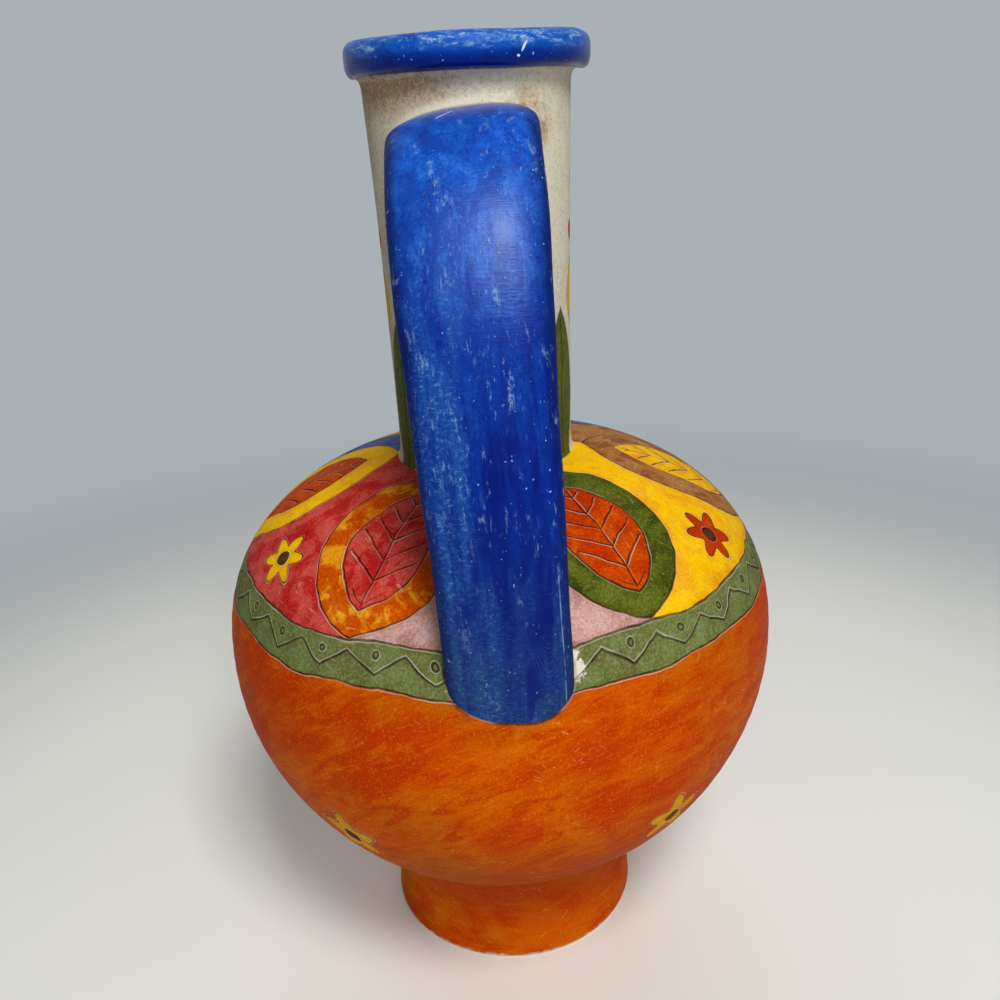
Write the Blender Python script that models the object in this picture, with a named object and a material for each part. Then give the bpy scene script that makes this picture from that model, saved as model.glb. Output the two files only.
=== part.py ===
import math

import bmesh
import bpy
from mathutils import Vector

for old in list(bpy.data.objects):
    bpy.data.objects.remove(old, do_unlink=True)

# Driving dimensions in metres, heights measured from the table
GAP = 0.0003                # slip line between two luted pieces

BELLY_HEIGHT = 0.1132       # height of the widest line, where the two halves meet
BELLY_RADIUS = 0.0917
BOWL_DEPTH = 0.0884         # widest line down to the bottom of the globe
BOWL_FULLNESS = 1.95        # 2 is an ellipse, more is squarer
DOME_RISE = 0.0645          # widest line up to where the dome would close
DOME_FULLNESS = 2.40
BODY_WALL = 0.0060
SEAM_BEVEL = 0.0020         # rise of the bowl's lip from its outer to its inner edge

FOOT_RADIUS = 0.0447
FOOT_WALL = 0.0070
FOOT_WAIST = 0.0008         # how far the foot draws in at mid height
FOOT_EDGE = 0.0014          # rounding of the edges that stand on the table

NECK_BASE_RADIUS = 0.0279
NECK_TOP_RADIUS = 0.0304
NECK_FLARE = 1.6            # 1 is a straight cone, more keeps the flare near the top
NECK_WALL = 0.0052

MOUTH_HEIGHT = 0.3000
RIM_HEIGHT = 0.0096
RIM_OVERHANG = 0.0047       # how far the roll stands out from the neck
RIM_LAP = 0.0042            # how far the roll laps down over the neck's top edge

HANDLE_DROP = 0.0092        # from the roll's underside down to the strap's upper face
HANDLE_INSET = 0.0004       # how far the strap stays inside the belly's widest line
HANDLE_TURN_RISE = 0.0450   # from the widest line up to where the strap runs plumb
HANDLE_WIDTH_TOP = 0.0404
HANDLE_WIDTH_FOOT = 0.0338
HANDLE_THICK_TOP = 0.0125
HANDLE_THICK_FOOT = 0.0098
HANDLE_FULLNESS = 2.5       # section of the strap, 2 is an oval, more is flatter
HANDLE_TAPER_START = 0.35   # share of the strap's length where it begins to narrow
HANDLE_TAPER_STOP = 0.85

FOOT_COIL = 0.0036          # legs of the luting coils where they were smeared out
NECK_COIL = 0.0026
HANDLE_COIL = 0.0024
COIL_HOLLOW = 0.55          # how far a smeared coil's face is drawn into its corner, 0 is flat
COIL_FEATHER = 0.3          # share of its thickness that a coil keeps where the strap runs flat into the pot

# Resolution
TURNS = 48                  # facets round the axis
GLOBE_STEPS = 10
NECK_STEPS = 6
ROLL_STEPS = 5
FILLET_STEPS = 3
STRAP_STATIONS = 26
STRAP_SIDES = 20
COIL_STATIONS = 36
COIL_SIDES = 10
WELD = 1e-6                 # points this close are one
NUDGE = 1e-3                # step for slopes
HALVINGS = 40
CREASE = math.radians(40)   # edges sharper than this stay sharp

# Heights and radii that follow from the sizes above
RIM_UNDERSIDE = MOUTH_HEIGHT - RIM_HEIGHT
NECK_EDGE = RIM_UNDERSIDE + RIM_LAP
HANDLE_TOP = RIM_UNDERSIDE - HANDLE_DROP
HANDLE_TURN = BELLY_HEIGHT + HANDLE_TURN_RISE
HANDLE_REACH = BELLY_RADIUS - HANDLE_INSET
FOOT_BORE = FOOT_RADIUS - FOOT_WALL
NECK_BORE = NECK_BASE_RADIUS - NECK_WALL


def globe_arc(radius, rise, fullness, start, stop, steps):
    # one half of the globe's outline between two angles, rise is negative for the bowl
    points = []
    for i in range(steps + 1):
        angle = start + (stop - start) * i / steps
        across = radius * math.cos(angle) ** (2 / fullness)
        up = rise * abs(math.sin(angle)) ** (2 / fullness)
        points.append((across, BELLY_HEIGHT + up))
    return points


def angle_at_radius(share, fullness):
    return math.acos(share ** (fullness / 2))


def angle_at_rise(share, fullness):
    return math.asin(share ** (fullness / 2))


def half_height(r, radius, rise, fullness):
    return BELLY_HEIGHT + rise * (1 - (r / radius) ** fullness) ** (1 / fullness)


def dome_height(r):
    return half_height(r, BELLY_RADIUS, DOME_RISE, DOME_FULLNESS)


def bowl_height(r):
    return half_height(r, BELLY_RADIUS, -BOWL_DEPTH, BOWL_FULLNESS)


def neck_radius(z):
    base = dome_height(NECK_BASE_RADIUS)
    share = min(max((z - base) / (NECK_EDGE - base), 0), 1)
    return NECK_BASE_RADIUS + (NECK_TOP_RADIUS - NECK_BASE_RADIUS) * share ** NECK_FLARE


def quarter(centre, across, up, start, steps):
    # a quarter of an ellipse, turning anticlockwise from the start angle
    turn = [math.radians(start + 90 * i / steps) for i in range(steps + 1)]
    return [(centre[0] + across * math.cos(a), centre[1] + up * math.sin(a)) for a in turn]


def hollow(a, corner, b):
    # a fillet's concave face from a to b, drawn in towards the corner
    points = []
    for i in range(1, FILLET_STEPS):
        t = i / FILLET_STEPS
        pull = [(1 - COIL_HOLLOW) * (p + q) / 2 + COIL_HOLLOW * c for p, c, q in zip(a, corner, b)]
        points.append(tuple((1 - t) ** 2 * p + 2 * t * (1 - t) * c + t * t * q for p, c, q in zip(a, pull, b)))
    return [a] + points + [b]


def finish(name, bm, base, colour, roughness):
    bmesh.ops.remove_doubles(bm, verts=bm.verts[:], dist=WELD)
    bmesh.ops.recalc_face_normals(bm, faces=bm.faces[:])
    bmesh.ops.translate(bm, verts=bm.verts[:], vec=(0, 0, -base))
    mesh = bpy.data.meshes.new(name)
    bm.to_mesh(mesh)
    bm.free()
    mesh.shade_smooth()
    mesh.set_sharp_from_angle(angle=CREASE)
    piece = bpy.data.objects.new(name, mesh)
    bpy.context.collection.objects.link(piece)
    piece.location = (0, 0, base)
    if colour:
        paint = bpy.data.materials.new(name)
        paint.use_nodes = True
        shader = paint.node_tree.nodes["Principled BSDF"]
        shader.inputs["Base Color"].default_value = (*colour, 1)
        shader.inputs["Roughness"].default_value = roughness
        shader.inputs["Metallic"].default_value = 0
        mesh.materials.append(paint)
        piece.parent = pitcher
    else:
        piece.hide_render = True
        piece.display_type = "WIRE"
    return piece


def thrown(name, outline, base=0, colour=None, roughness=0.6):
    # a wheel-thrown piece: a closed outline of radius and height turned once round the axis
    bm = bmesh.new()
    verts = [bm.verts.new((r, 0, z)) for r, z in outline]
    on_axis = [r < WELD for r, z in outline]
    edges = []
    for i, vert in enumerate(verts):
        after = (i + 1) % len(verts)
        if not (on_axis[i] and on_axis[after]):
            edges.append(bm.edges.new((vert, verts[after])))
    bmesh.ops.spin(bm, geom=verts + edges, cent=(0, 0, 0), axis=(0, 0, 1), angle=2 * math.pi,
                   steps=TURNS, use_merge=True)
    return finish(name, bm, base, colour, roughness)


def pulled(name, loops, closed, base=0, colour=None, roughness=0.6):
    # a piece drawn through a row of loops, closed on itself or capped at both ends
    bm = bmesh.new()
    rings = []
    for loop in loops:
        verts = [bm.verts.new(point) for point in loop]
        rings.append([bm.edges.new((v, verts[(i + 1) % len(verts)])) for i, v in enumerate(verts)])
    for i in range(len(rings) if closed else len(rings) - 1):
        bmesh.ops.bridge_loops(bm, edges=rings[i] + rings[(i + 1) % len(rings)])
    if not closed:
        for ring in (rings[0], rings[-1]):
            bmesh.ops.contextual_create(bm, geom=ring)
    return finish(name, bm, base, colour, roughness)


def cut(piece, cutter):
    boolean = piece.modifiers.new("cut by " + cutter.name, "BOOLEAN")
    boolean.operation = "DIFFERENCE"
    boolean.solver = "EXACT"
    boolean.object = cutter


ORANGE = (0.72, 0.13, 0.012)
RED_ORANGE = (0.66, 0.10, 0.012)
CREAM = (0.60, 0.50, 0.35)
BLUE = (0.006, 0.035, 0.32)

pitcher = bpy.data.objects.new("pitcher", None)
bpy.context.collection.objects.link(pitcher)

# Foot ring, its top edge following the bowl
joint = bowl_height(FOOT_RADIUS)
seat_slope = (bowl_height(FOOT_RADIUS) - bowl_height(FOOT_BORE)) / FOOT_WALL
seat_gap = GAP * math.hypot(1, seat_slope)
seat = [(FOOT_RADIUS - FOOT_WALL * i / FILLET_STEPS) for i in range(FILLET_STEPS + 1)]
foot_side = joint - seat_gap - FOOT_EDGE
foot = [(FOOT_RADIUS - FOOT_WAIST * math.sin(math.pi * i / NECK_STEPS), FOOT_EDGE + foot_side * i / NECK_STEPS)
        for i in range(NECK_STEPS)]
foot += [(r, bowl_height(r) - seat_gap) for r in seat]
foot += [(FOOT_BORE, FOOT_EDGE)]
foot += quarter((FOOT_BORE + FOOT_EDGE, FOOT_EDGE), FOOT_EDGE, FOOT_EDGE, 180, FILLET_STEPS)[1:]
foot += quarter((FOOT_RADIUS - FOOT_EDGE, FOOT_EDGE), FOOT_EDGE, FOOT_EDGE, 270, FILLET_STEPS)[:-1]
thrown("foot_ring", foot, 0, RED_ORANGE, 0.6)

# Bowl, closed at the bottom, its lip bevelled up towards the inside
bowl = globe_arc(BELLY_RADIUS, -BOWL_DEPTH, BOWL_FULLNESS, math.pi / 2, 0, GLOBE_STEPS)
bowl[0] = (0, bowl[0][1])
bowl += [(BELLY_RADIUS - BODY_WALL, BELLY_HEIGHT + SEAM_BEVEL)]
bowl += globe_arc(BELLY_RADIUS - BODY_WALL, BODY_WALL - BOWL_DEPTH, BOWL_FULLNESS, 0, math.pi / 2, GLOBE_STEPS)
bowl[-1] = (0, bowl[-1][1])
thrown("body_bowl", bowl, BELLY_HEIGHT, ORANGE, 0.55)

# Dome, standing on the bevelled lip, open under the neck
hole_outer = angle_at_radius(NECK_BORE / BELLY_RADIUS, DOME_FULLNESS)
hole_inner = angle_at_radius(NECK_BORE / (BELLY_RADIUS - BODY_WALL), DOME_FULLNESS)
lip = angle_at_rise((SEAM_BEVEL + GAP) / (DOME_RISE - BODY_WALL), DOME_FULLNESS)
dome = globe_arc(BELLY_RADIUS, DOME_RISE, DOME_FULLNESS, 0, hole_outer, GLOBE_STEPS)
dome[0] = (BELLY_RADIUS, BELLY_HEIGHT + GAP)
dome += globe_arc(BELLY_RADIUS - BODY_WALL, DOME_RISE - BODY_WALL, DOME_FULLNESS, hole_inner, lip, GLOBE_STEPS)
thrown("body_dome", dome, BELLY_HEIGHT, ORANGE, 0.55)

# Neck, its lower edge following the dome
base = dome_height(NECK_BASE_RADIUS) + GAP
neck = []
for i in range(NECK_STEPS + 1):
    z = NECK_EDGE + (base - NECK_EDGE) * i / NECK_STEPS
    neck.append((neck_radius(z), z))
for i in range(1, FILLET_STEPS + 1):
    r = NECK_BASE_RADIUS - NECK_WALL * i / FILLET_STEPS
    neck.append((r, dome_height(r) + GAP))
for r, z in reversed(neck[1:NECK_STEPS]):
    neck.append((r - NECK_WALL, z))
neck.append((NECK_TOP_RADIUS - NECK_WALL, NECK_EDGE))
thrown("neck_tube", neck, base, CREAM, 0.65)

# Rolled rim, lapping over the neck's top edge
skirt = NECK_TOP_RADIUS + GAP
lip_bore = NECK_TOP_RADIUS - NECK_WALL
outer = NECK_TOP_RADIUS + RIM_OVERHANG
crown = (lip_bore + outer) / 2
middle = (MOUTH_HEIGHT + RIM_UNDERSIDE) / 2
ledge = NECK_EDGE + GAP
roll = quarter((skirt, middle), outer - skirt, middle - RIM_UNDERSIDE, 270, ROLL_STEPS)
roll += quarter((crown, middle), outer - crown, MOUTH_HEIGHT - middle, 0, ROLL_STEPS)[1:]
roll += quarter((crown, ledge), crown - lip_bore, MOUTH_HEIGHT - ledge, 90, ROLL_STEPS)[1:]
roll += [(skirt, ledge)]
thrown("rim_roll", roll, RIM_UNDERSIDE, BLUE, 0.4)

# Luting coils of the foot and the neck, smeared into fillets
foot_corner = (FOOT_RADIUS + GAP, joint - seat_gap)
foot_out = FOOT_RADIUS + FOOT_COIL
coil = hollow((foot_out, bowl_height(foot_out) - seat_gap), foot_corner, (FOOT_RADIUS + GAP, joint - FOOT_COIL))
thrown("foot_coil", [foot_corner] + coil, joint, RED_ORANGE, 0.6)

neck_corner = (NECK_BASE_RADIUS + GAP, base)
neck_out = NECK_BASE_RADIUS + NECK_COIL
coil = hollow((neck_radius(base + NECK_COIL) + GAP, base + NECK_COIL), neck_corner,
              (neck_out, dome_height(neck_out) + GAP))
thrown("neck_coil", [neck_corner] + coil, base, CREAM, 0.65)

# Strap handle: its outer face is one ellipse from the neck to the belly, drawn well inside both and cut back
SPRING = neck_radius(HANDLE_TOP)
ACROSS = HANDLE_REACH - SPRING
UP = HANDLE_TOP - HANDLE_TURN
STRAP_START = math.pi / 2 + math.atan2(SPRING / 2, ACROSS)
STRAP_STOP = -math.atan2(HANDLE_TURN_RISE, UP)


def strap_point(share, side, grow):
    # a point of the strap's skin: share runs from neck to belly, side round the section
    angle = STRAP_START + (STRAP_STOP - STRAP_START) * share
    face = Vector((SPRING + ACROSS * math.cos(angle), HANDLE_TURN + UP * math.sin(angle)))
    out = Vector((math.cos(angle) / ACROSS, math.sin(angle) / UP)).normalized()
    t = min(max((share - HANDLE_TAPER_START) / (HANDLE_TAPER_STOP - HANDLE_TAPER_START), 0), 1)
    ease = t * t * (3 - 2 * t)
    width = HANDLE_WIDTH_TOP + (HANDLE_WIDTH_FOOT - HANDLE_WIDTH_TOP) * ease
    thick = HANDLE_THICK_TOP + (HANDLE_THICK_FOOT - HANDLE_THICK_TOP) * ease
    c, s = math.cos(side), math.sin(side)
    x = math.copysign(abs(c) ** (2 / HANDLE_FULLNESS), c) * (width / 2 + grow)
    lift = math.copysign(abs(s) ** (2 / HANDLE_FULLNESS), s) * (thick / 2 + grow) - thick / 2
    place = face + out * lift
    return Vector((x, -place.x, place.y))


def strap_loops(grow):
    sides = [2 * math.pi * i / STRAP_SIDES for i in range(STRAP_SIDES)]
    return [[strap_point(i / STRAP_STATIONS, side, grow) for side in sides] for i in range(STRAP_STATIONS + 1)]


def pot_radius(z):
    # the pot's outline that the strap sits on
    if z > BELLY_HEIGHT + DOME_RISE:
        return neck_radius(z)
    share = max(z - BELLY_HEIGHT, 0) / DOME_RISE
    globe = BELLY_RADIUS * (1 - share ** DOME_FULLNESS) ** (1 / DOME_FULLNESS)
    return max(globe, neck_radius(z))


def joint_point(side, inside, outside):
    # where one line of the strap's skin meets the pot, found by halving
    for _ in range(HALVINGS):
        middle_share = (inside + outside) / 2
        point = strap_point(middle_share, side, 0)
        if math.hypot(point.x, point.y) < pot_radius(point.z):
            inside = middle_share
        else:
            outside = middle_share
    return inside


def joint_coil(inside, outside):
    # a round coil laid along the joint, thin where the strap runs almost flat into the pot
    sides = [2 * math.pi * i / COIL_STATIONS for i in range(COIL_STATIONS)]
    line, thickness, normals = [], [], []
    for side in sides:
        share = joint_point(side, inside, outside)
        here = strap_point(share, side, 0)
        along = strap_point(share + NUDGE, side, 0) - strap_point(share - NUDGE, side, 0)
        round_section = strap_point(share, side + NUDGE, 0) - strap_point(share, side - NUDGE, 0)
        skin = round_section.cross(along).normalized()
        slope = (pot_radius(here.z + NUDGE) - pot_radius(here.z - NUDGE)) / (2 * NUDGE)
        pot = Vector((here.x, here.y, -slope * math.hypot(here.x, here.y))).normalized()
        line.append(here)
        thickness.append(HANDLE_COIL * (COIL_FEATHER + (1 - COIL_FEATHER) * (1 - abs(skin.dot(pot)))))
        normals.append(pot)
    loops = []
    for i, here in enumerate(line):
        ahead = (line[(i + 1) % len(line)] - line[i - 1]).normalized()
        beside = ahead.cross(normals[i]).normalized()
        above = beside.cross(ahead)
        turns = [2 * math.pi * k / COIL_SIDES for k in range(COIL_SIDES)]
        loops.append([here + (beside * math.cos(t) + above * math.sin(t)) * thickness[i] for t in turns])
    return loops


# The pot's outline with the slip line added, which cuts the strap's ends and the coils
keep = globe_arc(BELLY_RADIUS + GAP, -BOWL_DEPTH - GAP, BOWL_FULLNESS, math.pi / 2, 0, GLOBE_STEPS)
keep[0] = (0, keep[0][1])
neck_line = angle_at_radius(NECK_BASE_RADIUS / (BELLY_RADIUS + GAP), DOME_FULLNESS)
keep += globe_arc(BELLY_RADIUS + GAP, DOME_RISE + GAP, DOME_FULLNESS, 0, neck_line, GLOBE_STEPS)[1:]
keep += [(r + GAP, z) for r, z in reversed(neck[:NECK_STEPS])]
keep += [(0, NECK_EDGE)]
pot_cutter = thrown("pot_cutter", keep)
strap_cutter = pulled("strap_cutter", strap_loops(GAP), False)

strap = pulled("handle_strap", strap_loops(0), False, HANDLE_TURN, BLUE, 0.45)
cut(strap, pot_cutter)

for name, inside, outside, height, colour in (
        ("handle_upper_coil", 0, 0.5, HANDLE_TOP, CREAM),
        ("handle_lower_coil", 1, 0.5, HANDLE_TURN, ORANGE)):
    coil = pulled(name, joint_coil(inside, outside), True, height, colour, 0.6)
    cut(coil, pot_cutter)
    cut(coil, strap_cutter)
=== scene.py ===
import math

import bmesh
import bpy
from mathutils import Matrix, Vector, noise
from mathutils.kdtree import KDTree


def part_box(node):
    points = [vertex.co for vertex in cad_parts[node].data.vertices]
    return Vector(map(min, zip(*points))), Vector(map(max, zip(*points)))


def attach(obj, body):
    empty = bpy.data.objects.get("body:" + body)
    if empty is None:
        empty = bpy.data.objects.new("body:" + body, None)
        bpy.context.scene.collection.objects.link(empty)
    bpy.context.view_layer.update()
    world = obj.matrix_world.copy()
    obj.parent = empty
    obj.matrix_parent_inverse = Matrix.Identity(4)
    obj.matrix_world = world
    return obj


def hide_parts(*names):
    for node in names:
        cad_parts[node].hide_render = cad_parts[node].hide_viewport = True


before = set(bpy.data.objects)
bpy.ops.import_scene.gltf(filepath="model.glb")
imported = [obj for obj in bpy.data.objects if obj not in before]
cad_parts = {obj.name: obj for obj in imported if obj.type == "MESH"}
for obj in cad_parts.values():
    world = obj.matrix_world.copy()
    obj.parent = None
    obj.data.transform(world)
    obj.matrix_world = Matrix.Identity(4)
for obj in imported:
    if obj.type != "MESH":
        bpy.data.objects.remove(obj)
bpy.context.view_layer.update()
noise.seed_set(5)    # the hand strays the same way every time
print("frame loaded:", len(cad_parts), "clay pieces")

# sizes read off the frame, in metres
bowlLow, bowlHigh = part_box("body_bowl")
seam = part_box("body_dome")[0].z
rimLow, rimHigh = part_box("rim_roll")
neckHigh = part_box("neck_tube")[1]
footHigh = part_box("foot_ring")[1]
strapLow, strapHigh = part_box("handle_strap")

perMetre = 1000.0    # millimetres, which the paints are drawn in
far = 100.0          # added to a distance that is not to count


class Wire:
    # a socket that can stand in a Python expression
    def __init__(self, tree, socket=None):
        self.tree = tree
        self.socket = socket

    def node(self, kind, settings=None, sockets=None, out=0):
        made = self.tree.nodes.new("ShaderNode" + kind)
        for key, value in (settings or {}).items():
            if key == "stops":
                while len(made.color_ramp.elements) < len(value):
                    made.color_ramp.elements.new(1)
                for element, (place, colour) in zip(made.color_ramp.elements, value):
                    element.position = place
                    element.color = colour
            elif key == "spread":
                made.color_ramp.interpolation = value
            else:
                setattr(made, key, value)
        for key, value in (sockets or {}).items():
            if isinstance(value, Wire):
                value.into(made, key)
            else:
                made.inputs[key].default_value = value
        return Wire(self.tree, made.outputs[out])

    def into(self, node, name):
        self.tree.links.new(self.socket, node.inputs[name])

    def math(self, operation, *values):
        return self.node("Math", {"operation": operation}, dict(enumerate(values)))

    def __add__(self, other):
        return self.math("ADD", self, other)

    def __radd__(self, other):
        return self.math("ADD", other, self)

    def __sub__(self, other):
        return self.math("SUBTRACT", self, other)

    def __rsub__(self, other):
        return self.math("SUBTRACT", other, self)

    def __mul__(self, other):
        return self.math("MULTIPLY", self, other)

    def __rmul__(self, other):
        return self.math("MULTIPLY", other, self)

    def __truediv__(self, other):
        return self.math("DIVIDE", self, other)

    def __rtruediv__(self, other):
        return self.math("DIVIDE", other, self)

    def __neg__(self):
        return self.math("MULTIPLY", self, -1.0)

    def __abs__(self):
        return self.math("ABSOLUTE", self)

    def least(self, other):
        return self.math("MINIMUM", self, other)

    def most(self, other):
        return self.math("MAXIMUM", self, other)

    def hypot(self, other):
        return self.math("SQRT", self * self + other * other)

    def sine(self):
        return self.math("SINE", self)

    def cosine(self):
        return self.math("COSINE", self)

    def fold(self, period):
        # distance from the nearest multiple of the period, with its sign
        return self - self.math("ROUND", self / period) * period

    def step(self, low, high):
        # 0 up to low, 1 from high on, and a soft rise between
        return self.node("MapRange", {"interpolation_type": "SMOOTHSTEP"},
                         {"Value": self, "From Min": low, "From Max": high, "To Min": 0.0, "To Max": 1.0})

    def parts(self):
        split = self.node("SeparateXYZ", None, {0: self}).socket.node
        return [Wire(self.tree, socket) for socket in split.outputs]

    def vector(self, x, y, z):
        return self.node("CombineXYZ", None, {0: x, 1: y, 2: z})

    def scaled(self, factor):
        return self.node("VectorMath", {"operation": "SCALE"}, {0: self, "Scale": factor})

    def times(self, factors):
        return self.node("VectorMath", {"operation": "MULTIPLY"}, {0: self, 1: factors})

    def length(self):
        return self.node("VectorMath", {"operation": "LENGTH"}, {0: self}, "Value")

    def plus(self, other):
        return self.node("VectorMath", {"operation": "ADD"}, {0: self, 1: other})

    def turned(self, tilt):
        return self.node("Mapping", None, {"Vector": self, "Rotation": tilt})

    def grain(self, scale, detail=2.0, rough=0.5, bend=0.0, out=0):
        return self.node("TexNoise", None, {"Vector": self, "Scale": scale, "Detail": detail,
                                            "Roughness": rough, "Distortion": bend}, out)

    def waver(self, scale, reach):
        # a vector that strays about a reach this wide
        return self.grain(scale, 1.0, out=1).plus((-0.5, -0.5, -0.5)).scaled(reach)

    def mixed(self, first, second, amount, blend="MIX"):
        return self.node("Mix", {"data_type": "RGBA", "blend_type": blend}, {0: amount, 6: first, 7: second}, 2)


def ink(code):
    # a colour written as on a paint chart, made linear
    parts = [int(code[i:i + 2], 16) / 255 for i in (0, 2, 4)]
    return tuple(p / 12.92 if p < 0.04045 else ((p + 0.055) / 1.055) ** 2.4 for p in parts) + (1.0,)


def newMaterial(name):
    paint = bpy.data.materials.new(name)
    paint.use_nodes = True
    shader = paint.node_tree.nodes["Principled BSDF"]
    return paint, shader, Wire(paint.node_tree)


def coat(w, shader, colour, roughness, height, specular, tint=(1.0, 1.0, 1.0, 1.0)):
    # plugs a finish into the shader, heights are in millimetres
    colour.into(shader, "Base Color")
    roughness.into(shader, "Roughness")
    bump = w.node("Bump", None, {"Strength": 1.0, "Distance": 1 / perMetre, "Height": height})
    bump.into(shader, "Normal")
    shader.inputs["Specular IOR Level"].default_value = specular
    shader.inputs["Specular Tint"].default_value = tint


def backdropSeen(w):
    # 1 for the eye, and for what metal or glass would mirror
    path = w.node("LightPath").socket.node
    kinds = ("Camera", "Glossy", "Transmission")
    camera, glossy, clear = (Wire(w.tree, path.outputs["Is %s Ray" % kind]) for kind in kinds)
    return (camera + glossy + clear).least(1.0)


def millimetres(w):
    return w.node("TexCoord", out="Object").scaled(perMetre)


# the pot's outline
globe = {
    "bowlFullness": 1.95, "domeFullness": 2.40, "domeRise": 0.0645, "wall": 0.006,
    "outerSteps": 230, "innerSteps": 40, "turns": 288,
    "wobble": 0.00045, "wobbleSize": 0.055,    # how far the wheel and the hand strayed
    "ripple": 0.00006, "ripplePitch": 0.0052,    # finger ridges
    "rippleDrift": 4.0, "driftSize": 0.08,    # how far the ridges wander from their pitch
    "fillet": 0.0010, "filletWidth": 0.0034,    # clay smeared up against the handle's lower end
}
neck = {
    "baseRadius": 0.0279, "topRadius": 0.0304, "flare": 1.6, "wall": 0.0052,
    "offset": -0.0014,    # set a little to the left of the belly's axis
    "sunk": 0.0015, "sunkInside": 0.003,    # how far the wall runs down into the shoulder
    "coil": 0.0022, "coilFall": 0.0016,    # clay smeared out at the base
    "lip": 0.0020, "lipFall": 0.0010, "lipLap": 0.0005,    # widens just under the rim
    "rows": 110, "rowsInside": 36, "turns": 256,
    "wobble": 0.00030, "wobbleSize": 0.035, "fillet": 0.0006, "filletWidth": 0.0020,
}
bellyRadius = bowlHigh.x
bowlDepth = seam - bowlLow.z


def globeRadius(z):
    if z >= seam:
        share, power = (z - seam) / globe["domeRise"], globe["domeFullness"]
    else:
        share, power = (seam - z) / bowlDepth, globe["bowlFullness"]
    return bellyRadius * max(0.0, 1 - share ** power) ** (1 / power)


def domeHeight(r):
    power = globe["domeFullness"]
    return seam + globe["domeRise"] * (1 - (r / bellyRadius) ** power) ** (1 / power)


def bowlHeight(r):
    power = globe["bowlFullness"]
    return seam - bowlDepth * (1 - (r / bellyRadius) ** power) ** (1 / power)


neckBase = domeHeight(neck["baseRadius"])


def neckRadius(z):
    share = min(max((z - neckBase) / (neckHigh.z - neckBase), 0.0), 1.0)
    return neck["baseRadius"] + (neck["topRadius"] - neck["baseRadius"]) * share ** neck["flare"]


def globeArc(radius, rise, power, start, stop, steps):
    points = []
    for i in range(steps + 1):
        a = start + (stop - start) * i / steps
        points.append((radius * max(math.cos(a), 0.0) ** (2 / power), seam + rise * math.sin(a) ** (2 / power)))
    return points


def turnOutline(points, turns):
    # one turn of a closed outline round the axis
    bm = bmesh.new()
    verts = [bm.verts.new((r, 0, z)) for r, z in points]
    edges = [bm.edges.new(pair) for pair in zip(verts, verts[1:])]
    edges.append(bm.edges.new((verts[-1], verts[0])))
    bmesh.ops.spin(bm, geom=verts + edges, cent=(0, 0, 0), axis=(0, 0, 1), angle=2 * math.pi,
                   steps=turns, use_merge=True)
    bmesh.ops.remove_doubles(bm, verts=bm.verts[:], dist=1e-6)
    bmesh.ops.recalc_face_normals(bm, faces=bm.faces[:])
    return bm


def stray(co, size):
    return noise.noise_vector(co / size)


def newObject(name, data):
    made = bpy.data.objects.new(name, data)
    bpy.context.collection.objects.link(made)
    return made


def meshObject(name, bm, materials):
    mesh = bpy.data.meshes.new(name)
    bm.to_mesh(mesh)
    bm.free()
    for material in materials:
        mesh.materials.append(material)
    return newObject(name, mesh)


def inward(face, offset=0.0):
    # whether a face looks at the axis
    middle = face.calc_center_median()
    return (middle.x - offset) * face.normal.x + middle.y * face.normal.y < 0


def finishPiece(bm, name, materials, nodes):
    piece = meshObject(name, bm, materials)
    piece.data.shade_smooth()
    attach(piece, "root")
    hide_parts(*nodes)
    print(name, "has", len(piece.data.polygons), "faces")


# the strap's skin: share runs from neck to belly, side goes round the section
strap = {
    "turnRise": 0.045, "widthTop": 0.0404, "widthFoot": 0.0338,
    "thickTop": 0.0125, "thickFoot": 0.0098, "fullnessTop": 2.3, "fullnessFoot": 3.0,
    "taperStart": 0.35, "taperStop": 0.85,
    "leanTop": -0.0030, "leanFoot": 0.0020,    # set on a little askew
    "twist": 0.10, "twistEnd": 0.55,    # its left edge hangs lower where it leaves the neck
    "tongue": 0.0030, "tongueStart": 0.88, "tongueRun": 0.10,    # sides of the lower end rubbed down
    "tongueCrown": 0.65, "tongueCurve": 2.4,
    "sides": 120, "stations": 240, "jointPoints": 360, "halvings": 30,
    "sink": 0.0012,    # how deep the ends are pressed into the pot
    "wobble": 0.00035, "wobbleSize": 0.022,
    "stillEnds": 8,    # the higher, the shorter the stretch without wobble
    "mapLength": 0.19,    # length of the strap on its paint map
    "mapLift": 6,    # half its thickness there, in millimetres
}
strapTop = strapHigh.z
strapTurn = seam + strap["turnRise"]
spring = neckRadius(strapTop)
strapAcross = -strapLow.y - spring
strapUp = strapTop - strapTurn
strapStart = math.pi / 2 + math.atan2(spring / 2, strapAcross)
strapStop = -math.atan2(strap["turnRise"], strapUp)


def ease(t):
    t = min(max(t, 0.0), 1.0)
    return t * t * (3 - 2 * t)


def blend(a, b, t):
    return a + (b - a) * t


def swell(c, power):
    # a sine or cosine made rounder or squarer
    return math.copysign(abs(c) ** power, c)


def strapFrame(share):
    angle = blend(strapStart, strapStop, share)
    face = Vector((spring + strapAcross * math.cos(angle), strapTurn + strapUp * math.sin(angle)))
    out = Vector((math.cos(angle) / strapAcross, math.sin(angle) / strapUp)).normalized()
    return face, out


def strapLean(z):
    return blend(strap["leanTop"], strap["leanFoot"], ease((strapTop - z) / (strapTop - seam)))


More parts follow.
